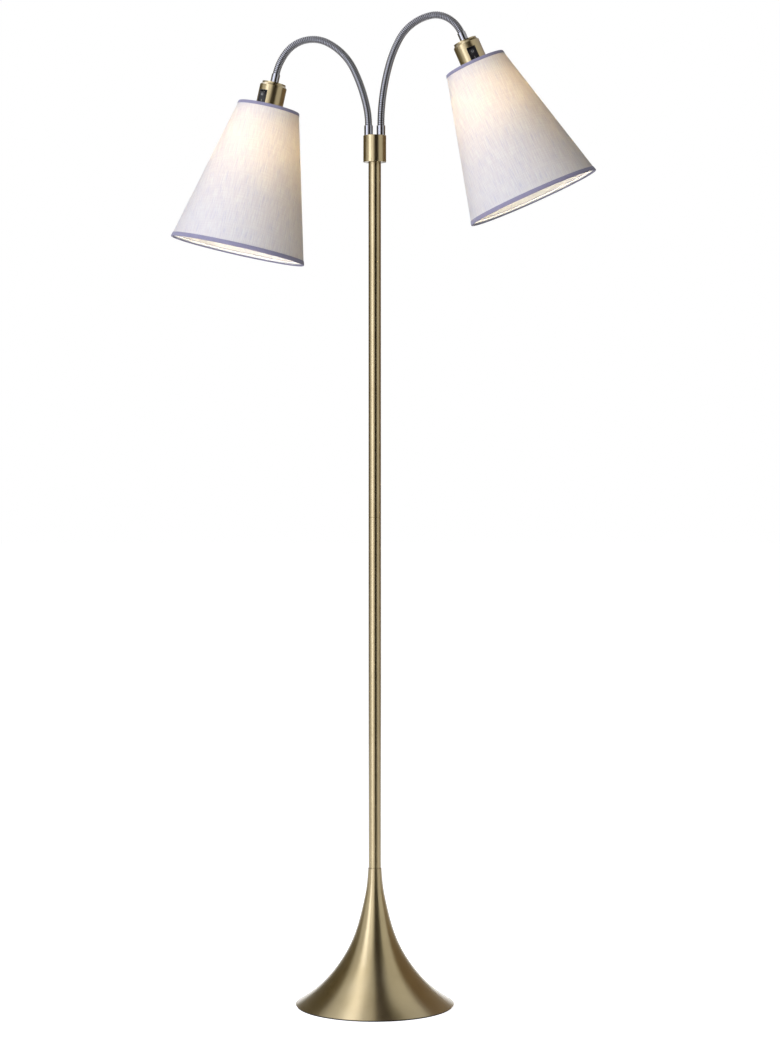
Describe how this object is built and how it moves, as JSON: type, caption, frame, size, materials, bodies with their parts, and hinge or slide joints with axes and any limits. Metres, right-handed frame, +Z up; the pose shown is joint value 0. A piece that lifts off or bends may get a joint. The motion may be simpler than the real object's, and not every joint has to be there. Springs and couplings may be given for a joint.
{
  "type": "two-arm floor lamp",
  "caption": "Floor lamp with a trumpet base, a slim pole and flexible gooseneck arms, each with a switched lampholder and a tapered fabric cone shade.",
  "frame": {"origin": "on the floor at the pole's axis, in the plane of the base pad's underside", "axes": "+Z up along the pole; the arms lie in the XZ plane, the lower arm towards -X and the higher arm towards +X; the lamp is seen from -Y and the cord leaves at +Y"},
  "size_m": [0.6126, 0.23, 1.4371],
  "materials": {
    "antique_brass": "satin",
    "iron": "painted",
    "pad": "matte",
    "steel": "zinc plated",
    "chrome": "satin chrome",
    "black_plastic": "moulded",
    "cable": "matte",
    "brass": "plain",
    "cap_metal": "rolled",
    "opal_glass": "opal",
    "shade_fabric": "linen weave on a backing",
    "band_fabric": "bias tape",
    "white_steel": "white powder coat"
  },
  "bodies": {
    "stand": {"base_pad": "pad", "base_shell": "antique_brass", "base_weight": "iron", "base_washer": "steel", "base_nut": "steel", "tie_tube": "steel", "neck_bush": "steel", "lower_pole": "antique_brass", "pole_coupler": "steel", "upper_pole": "antique_brass", "top_bush": "steel", "hub_nut": "steel", "hub_body": "antique_brass", "hub_plate": "antique_brass", "stem_nuts": "steel", "terminal_block": "black_plastic", "mains_terminal": "black_plastic", "cord_grommet": "pad", "pole_lead": "cable", "lower_ferrules": "chrome"},
    "left_lower_neck": {"left_neck_a": "chrome"},
    "left_middle_neck": {"left_neck_b": "chrome"},
    "left_upper_neck": {"left_neck_c": "chrome"},
    "left_head": {"left_neck_d": "chrome", "left_tip_ferrule": "chrome", "left_arm_lead": "cable", "left_holder_cover": "antique_brass", "left_holder_nut": "steel", "left_lampholder": "black_plastic", "left_centre_contact": "brass", "left_screw_shell": "brass", "left_bulb_cap": "cap_metal", "left_bulb_glass": "opal_glass", "left_shade_cone": "shade_fabric", "left_top_band": "band_fabric", "left_bottom_band": "band_fabric", "left_lower_ring": "white_steel", "left_shade_ring": "black_plastic", "left_shade_fitter": "white_steel"},
    "left_rocker": {"left_switch_rocker": "black_plastic"},
    "right_lower_neck": {"right_neck_a": "chrome"},
    "right_middle_neck": {"right_neck_b": "chrome"},
    "right_upper_neck": {"right_neck_c": "chrome"},
    "right_head": {"right_neck_d": "chrome", "right_tip_ferrule": "chrome", "right_arm_lead": "cable", "right_holder_cover": "antique_brass", "right_holder_nut": "steel", "right_lampholder": "black_plastic", "right_centre_contact": "brass", "right_screw_shell": "brass", "right_bulb_cap": "cap_metal", "right_bulb_glass": "opal_glass", "right_shade_cone": "shade_fabric", "right_top_band": "band_fabric", "right_bottom_band": "band_fabric", "right_lower_ring": "white_steel", "right_shade_ring": "black_plastic", "right_shade_fitter": "white_steel"},
    "right_rocker": {"right_switch_rocker": "black_plastic"}
  },
  "joints": [
    {"name": "left_arm_swing", "type": "hinge", "parent": "stand", "child": "left_lower_neck", "pos_m": [-0.0089, 0, 1.2734], "axis": [0, 0, 1], "range_deg": [-30, 30], "deforming": ["left_arm_lead"]},
    {"name": "left_arm_bend", "type": "hinge", "parent": "left_lower_neck", "child": "left_middle_neck", "pos_m": [-0.02445, 0, 1.34121], "axis": [0, -1, 0], "range_deg": [-28, 4]},
    {"name": "left_arm_bend_upper", "type": "hinge", "parent": "left_middle_neck", "child": "left_upper_neck", "pos_m": [-0.07873, 0, 1.39579], "axis": [0, -1, 0], "range_deg": [-28, 4]},
    {"name": "left_head_tilt", "type": "hinge", "parent": "left_upper_neck", "child": "left_head", "pos_m": [-0.13794, 0, 1.3595], "axis": [-1, 0, 0], "range_deg": [-28, 28]},
    {"name": "left_switch_rock", "type": "hinge", "parent": "left_head", "child": "left_rocker", "pos_m": [-0.15944, -0.01278, 1.31209], "axis": [-0.7799, 0.6018, 0.1722], "range_deg": [0, 16]},
    {"name": "right_arm_swing", "type": "hinge", "parent": "stand", "child": "right_lower_neck", "pos_m": [0.0089, 0, 1.2734], "axis": [0, 0, -1], "range_deg": [-30, 30], "deforming": ["right_arm_lead"]},
    {"name": "right_arm_bend", "type": "hinge", "parent": "right_lower_neck", "child": "right_middle_neck", "pos_m": [0.0164, 0, 1.34286], "axis": [0, 1, 0], "range_deg": [-28, 4]},
    {"name": "right_arm_bend_upper", "type": "hinge", "parent": "right_middle_neck", "child": "right_upper_neck", "pos_m": [0.04904, 0, 1.41465], "axis": [0, 1, 0], "range_deg": [-28, 4]},
    {"name": "right_head_tilt", "type": "hinge", "parent": "right_upper_neck", "child": "right_head", "pos_m": [0.11663, 0, 1.41849], "axis": [-1, 0, 0], "range_deg": [-28, 28]},
    {"name": "right_switch_rock", "type": "hinge", "parent": "right_head", "child": "right_rocker", "pos_m": [0.14121, -0.01588, 1.3732], "axis": [-0.9081, -0.1219, -0.4005], "range_deg": [0, 16]}
  ],
  "couplings": [
    {"joint": "left_arm_bend_upper", "follows": "left_arm_bend", "ratio": 1},
    {"joint": "right_arm_bend_upper", "follows": "right_arm_bend", "ratio": 1}
  ]
}
